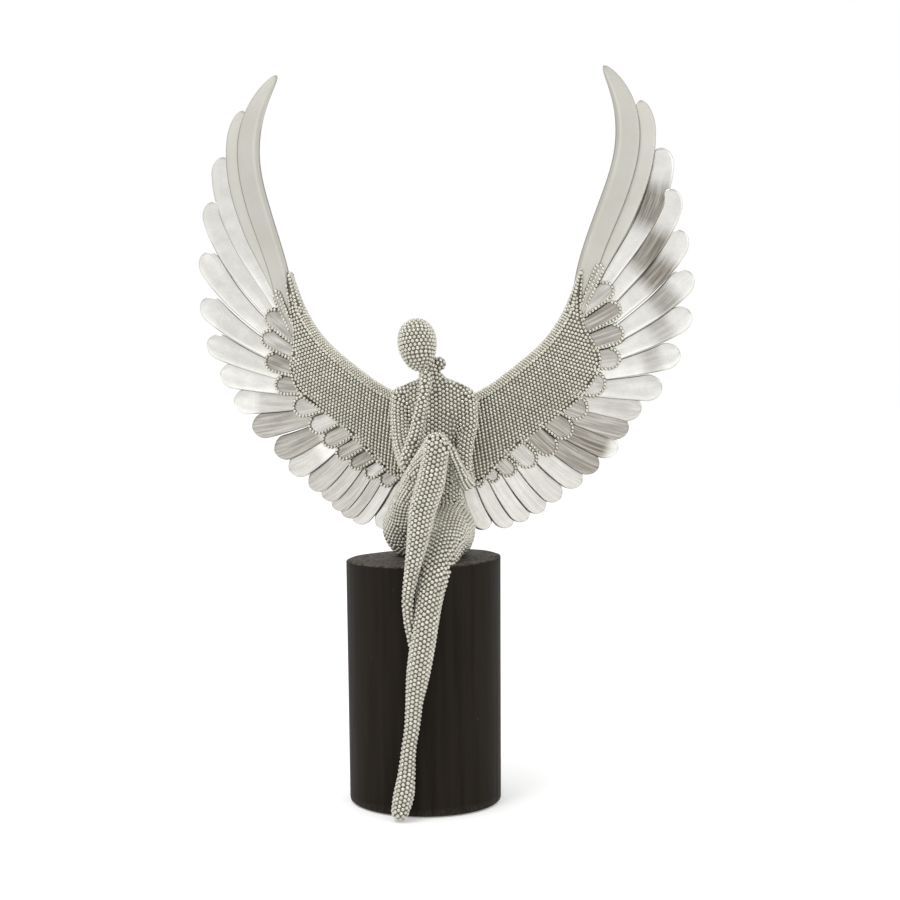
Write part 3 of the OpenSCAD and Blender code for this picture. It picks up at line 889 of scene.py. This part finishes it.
def blade_relief(c, t):
    """The leading blade: a narrow raised flank along its inner edge, then a slope to the outer edge."""
    inner = np.where(c > BLADE_RIDGE, (1 - c) / (1 - BLADE_RIDGE), 0)
    outer = np.where(c <= BLADE_RIDGE, (c + 1) / (1 + BLADE_RIDGE), 0)
    return 0.9 * (inner + outer) * np.clip(t * 6 + 0.3, 0, 1)


def leaf_relief(seed, depth=1.0):
    """A flat vane with rounded edges and a few long shallow dents, as in foil pressed down by hand."""
    rng = np.random.default_rng(seed)
    phase, waves = rng.random(4) * 6.3, rng.uniform(0.6, 1.5, 4)

    def relief(c, t):
        crown = 0.16 * (1 - np.abs(c) ** 6)
        dents = 0.07 * np.sin(c * 2.4 * waves[0] + t * 7 * waves[1] + phase[0])
        dents = dents + 0.03 * np.sin(c * 5.3 * waves[2] - t * 11 * waves[3] + phase[1])
        return crown + dents * depth * (1 - c ** 2)

    return relief


# ---- materials ----
class Look:
    """A node tree in the making. Values handed to its calls are sockets, numbers or colours."""

    def __init__(self, owner, shader="Principled BSDF"):
        owner.use_nodes = True
        self.owner, self.tree = owner, owner.node_tree
        self.shader = self.tree.nodes[shader]
        self.relief = None

    def wire(self, value, socket):
        if isinstance(value, bpy.types.NodeSocket):
            self.tree.links.new(value, socket)
        elif socket.type == "RGBA":
            socket.default_value = (*value, 1)
        else:
            socket.default_value = value

    def set(self, node, **inputs):
        for key, value in inputs.items():
            self.wire(value, node.inputs[key.replace("_", " ")])
        return node

    def add(self, kind, **inputs):
        return self.set(self.tree.nodes.new(kind), **inputs)

    def attribute(self, name, output="Fac"):
        a = self.add("ShaderNodeAttribute")
        a.attribute_name = name
        return a.outputs[output]

    def noise(self, scale, detail=4, stretch=(1, 1, 1), place=None, distortion=0):
        """A noise over the object's own coordinates, in metres, or over another place."""
        place = place or self.add("ShaderNodeTexCoord").outputs["Object"]
        mapped = self.add("ShaderNodeMapping", Vector=place, Scale=stretch).outputs["Vector"]
        return self.add("ShaderNodeTexNoise", Vector=mapped, Scale=scale, Detail=detail,
                        Distortion=distortion).outputs["Fac"]

    def ramp(self, source, *stops):
        """A ramp over a socket. Each stop is a position with a colour or a shade of grey."""
        r = self.add("ShaderNodeValToRGB", Fac=source)
        while len(r.color_ramp.elements) < len(stops):
            r.color_ramp.elements.new(0.5)
        for element, (position, colour) in zip(r.color_ramp.elements, stops):
            element.position = position
            element.color = (*colour, 1) if isinstance(colour, tuple) else (colour, colour, colour, 1)
        return r.outputs["Color"]

    def mix(self, factor, a, b, blend="MIX"):
        m = self.add("ShaderNodeMix")
        m.data_type = "RGBA"
        m.blend_type = blend
        for socket, value in zip([s for s in m.inputs if s.enabled], (factor, a, b)):
            self.wire(value, socket)
        return [s for s in m.outputs if s.enabled][0]

    def washed_and_shaded(self, silver):
        """The silver's colour mixed towards a dark brown by painted shade: a thin dark line where two
        feathers meet, and the shaded face of each leading blade.
        """
        return self.mix(self.ramp(self.attribute("wash_and_shade"), (0, 0), (1, 0.8)), silver, (0.12, 0.11, 0.095))

    def bump(self, height, strength, distance):
        """Fine relief, on top of any laid before it."""
        b = self.add("ShaderNodeBump", Height=height, Strength=strength, Distance=distance)
        if self.relief:
            self.wire(self.relief, b.inputs["Normal"])
        self.relief = b.outputs["Normal"]
        self.wire(self.relief, self.shader.inputs["Normal"])

    def finish(self, **inputs):
        self.set(self.shader, **inputs)
        return self.owner


def new_look(name):
    return Look(bpy.data.materials.new(name))


def beaded_silver():
    """Champagne silver beads, with a dark wash between them that is also painted shade round each bead's
    foot.
    """
    look = new_look("beaded_silver")
    tone = look.ramp(look.attribute("tone"), (0, (0.53, 0.515, 0.445)), (0.5, (0.6, 0.585, 0.51)),
                     (1, (0.67, 0.655, 0.585)))
    # Painted shade: the beads' feet and the bare surface between them go towards a dark brown
    depth = look.ramp(look.attribute("wash_and_shade"), (0.05, 0), (0.95, 1))
    wear = look.noise(900)
    look.bump(wear, 0.15, 0.0002)
    return look.finish(Base_Color=look.mix(depth, tone, (0.13, 0.118, 0.095)), Metallic=0.85,
                       Roughness=look.ramp(wear, (0.3, 0.26), (0.7, 0.42)))


def satin_silver():
    """Painted champagne silver of the two leading blades."""
    look = new_look("satin_silver")
    colour = look.ramp(look.noise(60, detail=6), (0.3, (0.535, 0.525, 0.475)), (0.7, (0.585, 0.575, 0.525)))
    grain = look.noise(1500, detail=3)
    look.bump(grain, 0.12, 0.0002)
    return look.finish(Base_Color=look.washed_and_shaded(colour), Metallic=0.7,
                       Roughness=look.ramp(grain, (0.3, 0.36), (0.7, 0.5)))


def leaf_silver():
    """Silver leaf on the feathers: fine lines along each vane, small creases and streaked bands of painted
    reflection.
    """
    look = new_look("leaf_silver")
    place = look.attribute("vane", "Vector")
    lines = (2.2, 0.09, 1)
    brushed = look.noise(1.6, detail=5, stretch=lines, place=place)
    streaks = look.noise(0.55, stretch=lines, place=place)
    creases = look.noise(0.16, detail=3, place=place, distortion=0.4)
    plain_leaf = look.ramp(creases, (0.35, (0.72, 0.71, 0.67)), (0.65, (0.79, 0.78, 0.745)))
    streaky = look.ramp(streaks, (0.36, 0.6), (0.6, 1))
    # Painted reflection: the bands, broken into streaks along the vane, mix the leaf towards a dark brown
    reflection_dark = look.mix(1.0, look.attribute("reflection_band", "Color"), streaky, "MULTIPLY")
    silver = look.mix(reflection_dark, plain_leaf, (0.19, 0.168, 0.135))
    look.bump(creases, 0.2, 0.0006)
    look.bump(brushed, 0.16, 0.0001)
    return look.finish(Base_Color=look.washed_and_shaded(silver), Metallic=1,
                       Roughness=look.ramp(brushed, (0.3, 0.17), (0.75, 0.34)))


def black_wood():
    """Black stained wood: upright grain, rubbed through at the top and along its rim."""
    look = new_look("black_wood")
    grain = look.noise(260, detail=7, stretch=(1, 1, 0.06))
    stain = look.ramp(grain, (0.3, (0.007, 0.005, 0.003)), (0.75, (0.018, 0.0135, 0.009)))
    rubbed = look.ramp(look.noise(900), (0.4, (0.02, 0.016, 0.012)), (0.62, (0.14, 0.125, 0.105)))
    colour = look.mix(look.attribute("worn"), stain, rubbed)
    specks = look.ramp(look.noise(700, detail=1), (0.79, 0), (0.82, 1))
    look.bump(grain, 0.35, 0.0006)
    return look.finish(Base_Color=look.mix(specks, colour, (0.06, 0.055, 0.05)), Specular_IOR_Level=0.08,
                       Roughness=look.ramp(grain, (0.3, 0.5), (0.7, 0.72)))


def plain_metal(name, colour, roughness):
    """Turned or plated metal of the hidden fixings, with fine lathe lines."""
    look = new_look(name)
    lines = look.noise(300, detail=3, stretch=(1, 1, 12))
    look.bump(lines, 0.2, 0.0001)
    return look.finish(Base_Color=look.ramp(lines, (0.3, tuple(c * 0.85 for c in colour)), (0.7, colour)),
                       Metallic=1, Roughness=roughness)


def felt():
    look = new_look("felt")
    fuzz = look.noise(1800, detail=8)
    look.bump(fuzz, 0.6, 0.0004)
    shade = look.ramp(fuzz, (0.3, 0.012), (0.7, 0.05))
    return look.finish(Base_Color=shade, Roughness=0.95, Sheen_Weight=0.4)


# What the pieces made here wear: a material and its slot
BEADED = beaded_silver(), "beaded_silver"
SATIN = satin_silver(), "satin_silver"
LEAF = leaf_silver(), "leaf_silver"
WOOD = black_wood(), "black_wood"
# What the CAD pieces that stay wear
STEEL = plain_metal("steel", (0.6, 0.6, 0.62), 0.3)
BRASS = plain_metal("brass", (0.75, 0.58, 0.28), 0.28)
FELT = felt()


# ---- pieces ----
def make_body():
    beads = body_beads()
    inset = BEAD_PITCH / 2
    for name in SHAPES:
        if name in ("neck", "back_pad"):
            continue
        parts = (name, "neck", "back_pad") if name == "torso" else (name,)
        models = [m for part in parts for m in (part_surface(part, inset), bead_mesh(*beads[part]))]
        make_piece(name, joined(models), BEADED, replaces=(name,))


def part_surface(name, inset):
    """The bare surface under a part's beads, raised where the part runs softly into a neighbour."""
    shape, field = SHAPES[name], blended(name)
    verts, faces = shape.skin(inset - (0.5 if name == "hair_bun" else 0.1))
    lift = np.clip(-(field(verts) + inset), 0, 1.4)
    normals = unit(gradient(shape.field, verts))
    return washed_and_shaded(verts + normals * lift[:, None], right_way_out(verts, faces))


def make_core(label, wing):
    s = 1 - (1 - np.linspace(0, 1, 64)) ** 1.2
    rings = [core_section(e, o, PANEL_PITCH / 2) for e, o in zip(spline(EDGE, s), spline(wing["panel"], s))]
    core = washed_and_shaded(*skinned(rings))
    name = label + "_wing_core"
    model = joined([core] + panel_beads(wing["panel"]))
    make_piece(name, on_side(wing["side"], model), BEADED, replaces=(name,))


def make_feathers(label, wing):
    side = wing["side"]
    for i in range(len(wing["tips"])):
        vane = feather_vane(wing, i)
        blade = i < len(BLADE_WIDTHS)
        relief = blade_relief if i == 0 else leaf_relief(40 * i + side)
        depth = -0.9 if i == 0 else -0.4 if blade else 0
        twist = np.random.default_rng(900 + 2 * i + side).uniform(-0.025, 0.025) * (i > 2)
        bend = 0 if blade else 0.022 * min(max((9 - i) / 3, 0), 1)
        # Feathers not listed get a faint painted reflection over their whole length, stronger further down
        # the wing
        reflection_band = wing["reflection_band"].get(i + 1, (-1, 2, min(0.04 * i - 0.15, 0.35)))
        feather = vane_mesh(vane, depth, FEATHER_T, SHINGLE + twist, relief, bend,
                            first=-0.08 if i == 0 else 0, reflection_band=reflection_band)
        name = f"{label}_feather_{i + 1:02d}"
        make_piece(name, on_side(side, feather), SATIN if blade else LEAF, replaces=(name,))


def covert_outline(vane, inset=0.35):
    """The visible rim of a covert, from its upper side round the tip to its lower side."""
    tip = vane.start + (1 - vane.start) * np.sin(np.linspace(0, 1, 24)[1:] * pi / 2)
    t = np.concatenate([np.linspace(0.12, vane.start, 20), tip])
    h = np.maximum(vane.half_width(t) - inset, 0)
    upper = vane.middle(t) + vane.side(t) * h[:, None]
    lower = vane.middle(t) - vane.side(t) * h[:, None]
    return np.concatenate([upper, lower[::-1]])


def make_coverts(label, wing):
    side = wing["side"]
    leaves, seats = [], []
    for i in range(wing["coverts"]):
        vane = covert_vane(wing, i)
        relief = leaf_relief(500 + 30 * i + side, 2.4)
        lift = -0.5 if i == 0 else 0
        roll = np.random.default_rng(700 + 2 * i + side).uniform(0, 0.16) * (i > 0)
        # Each covert gets painted reflection over its whole length, at a random strength
        reflection_dark = np.random.default_rng(300 + 2 * i + side).uniform(0.4, 0.95)
        leaves.append(vane_mesh(vane, COVERT_D + lift, COVERT_T, roll, relief,
                                rings=24, cells=10, reflection_band=(-1, 2, reflection_dark)))
        seats.append(covert_outline(vane))
        if i == 0:
            seats.append(vane.middle(np.linspace(0.1, 0.93, 40)))
    name = label + "_wing_coverts"
    make_piece(name, on_side(side, joined(leaves)), LEAF, replaces=(name,))
    seats = np.concatenate([resampled(s, TRIM_PITCH) for s in seats])
    seats = seats[thinned(seats, 0.93 * TRIM_PITCH)]
    centres = on_wing(seats, COVERT_D - COVERT_T / 2 - 0.35)
    normals = mirrored(side, wing_normal(*seats.T))
    beads = bead_mesh(mirrored(side, centres), normals, TRIM_PITCH * BEAD_FULLNESS)
    make_piece(label + "_covert_beads", beads, BEADED)


def make_plinth():
    """A hand-cut block that leans a millimetre to one side and has a slightly tilted top."""
    sides = 160
    a = circle(sides)
    wave = 0.25 * np.sin(2 * a + 0.6) + 0.14 * np.sin(5 * a + 2) + 0.1 * np.sin(9 * a + 1)
    lean = 1.1 * np.cos(a)
    foot, rim, recess, top = 1.2, 0.9, 1.25, PLINTH_H - 1.4
    felt_r = PLINTH_FOOT_R - 2.3
    # Each ring's radius, height, wear and share of the top's unevenness
    profile = [(1, recess, 0, 0), (felt_r, recess, 0, 0), (felt_r, FELT_PROUD, 0, 0)]
    profile += [(PLINTH_FOOT_R - foot + foot * cos(b), FELT_PROUD + foot + foot * sin(b), 0.15, 0)
                for b in np.radians([-90, -60, -30, 0])]
    profile += [(PLINTH_FOOT_R + (PLINTH_TOP_R - PLINTH_FOOT_R) * share, share * top, 0, share ** 8)
                for share in np.linspace(0.04, 0.97, 30)]
    profile += [(PLINTH_TOP_R - rim + rim * cos(b), top + rim * sin(b), wear, 1)
                for b, wear in zip(np.radians([0, 30, 60, 90]), (0, 0.3, 1, 0.8))]
    profile += [(r, top + rim, 1, 1) for r in np.linspace(PLINTH_TOP_R - rim - 0.8, 1, 14)]
    rings = []
    for r, z, wear, share in profile:
        out = r / PLINTH_TOP_R
        rings.append(np.stack([r * np.cos(a) - max(z - 3, 0) / PLINTH_H, r * np.sin(a),
                               z + share * (lean * out + wave * out ** 3)], axis=1))
    verts, faces = skinned(rings)
    worn = np.repeat([wear for _, _, wear, _ in profile], sides)
    make_piece("plinth", (verts, right_way_out(verts, faces), {"worn": worn}), WOOD, replaces=("plinth",))


def dress_fixings():
    """The hidden hardware keeps its CAD shape and takes a finished material."""
    finishes = {"felt_disc": FELT, "fixing_bolt": STEEL, "bolt_washer": STEEL, "seat_insert": BRASS,
                "left_wing_pins": STEEL, "right_wing_pins": STEEL}
    for name, finish in finishes.items():
        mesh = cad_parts[name].data
        mesh.materials.clear()
        mesh.materials.append(finish)


def make_camera():
    cam = bpy.data.cameras.new("camera")
    cam.lens = 67.12
    cam.sensor_width = 36
    cam.clip_end = 20
    obj = put("camera", cam)
    obj.location = (0.14496, -0.757, 0.2053)
    obj.rotation_euler = (radians(86.79), 0, radians(10))
    bpy.context.scene.camera = obj


def make_stage():
    """A plain pale floor, which glows a little so that it runs into the white behind it."""
    half = 6.0
    mesh = bpy.data.meshes.new("floor")
    corners = [(x * half, y * half, 0) for x, y in ((-1, -1), (1, -1), (1, 1), (-1, 1))]
    mesh.from_pydata(corners, [], [(0, 1, 2, 3)])
    look = new_look("floor")
    pale = look.ramp(look.noise(3, detail=2), (0.3, 0.895), (0.7, 0.905))
    look.finish(Base_Color=pale, Roughness=0.9, Emission_Color=pale, Emission_Strength=0.22)
    mesh.materials.append(look.owner)
    put("floor", mesh)


def area_light(name, place, size, power):
    """A lamp that faces the figure."""
    lamp = bpy.data.lights.new(name, "AREA")
    lamp.shape = "RECTANGLE"
    lamp.size, lamp.size_y = size
    lamp.energy = power
    obj = put(name, lamp)
    obj.location = place
    obj.rotation_euler = (Vector((0, 0, 0.2)) - Vector(place)).to_track_quat("-Z", "Y").to_euler()


def make_lights():
    area_light("key", (-0.45, -0.65, 1.75), (0.6, 0.6), 10)
    area_light("fill", (1.3, -0.9, 0.7), (1.0, 1.2), 3)
    make_world()
    bpy.context.scene.view_settings.view_transform = "Standard"


def make_world():
    """White all round, and a little uneven, which only shows in the polished silver."""
    world = bpy.data.worlds.new("studio")
    bpy.context.scene.world = world
    look = Look(world, "Background")
    place = look.add("ShaderNodeTexCoord").outputs["Generated"]
    wall = look.ramp(look.noise(1.8, detail=1, place=place), (0.36, (0.92, 0.92, 0.91)), (0.58, 1))
    to_camera = look.add("ShaderNodeLightPath").outputs["Is Camera Ray"]
    look.finish(Color=look.mix(to_camera, wall, (1, 1, 1)), Strength=1.0)


make_camera()
make_stage()
make_lights()
make_plinth()
dress_fixings()
make_body()
for label, wing in WINGS.items():
    make_core(label, wing)
    make_coverts(label, wing)
    make_feathers(label, wing)
